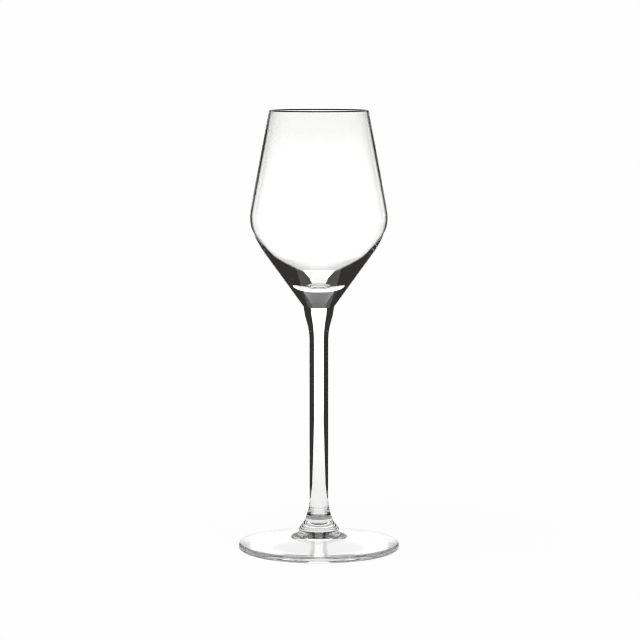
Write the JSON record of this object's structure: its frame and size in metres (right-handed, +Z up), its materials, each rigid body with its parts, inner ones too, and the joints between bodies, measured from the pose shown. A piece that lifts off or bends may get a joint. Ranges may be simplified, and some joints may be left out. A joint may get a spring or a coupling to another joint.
{
  "type": "port glass",
  "caption": "Small stemmed glass for fortified wine: thin blown bowl that narrows to the rim, thick cone base, slim solid stem and round foot with a hollow underside.",
  "frame": {"origin": "centre of the flat ring that the foot stands on, at table level", "axes": "+Z up along the axis of revolution, from the foot to the rim"},
  "size_m": [0.0626, 0.0626, 0.1704],
  "materials": {
    "bowl_glass": "clear, colourless, fire polished",
    "stem_glass": "clear, colourless, drawn",
    "foot_glass": "clear, colourless, pressed"
  },
  "bodies": {
    "root": {"bowl": "bowl_glass", "stem": "stem_glass", "foot": "foot_glass"}
  },
  "joints": []
}
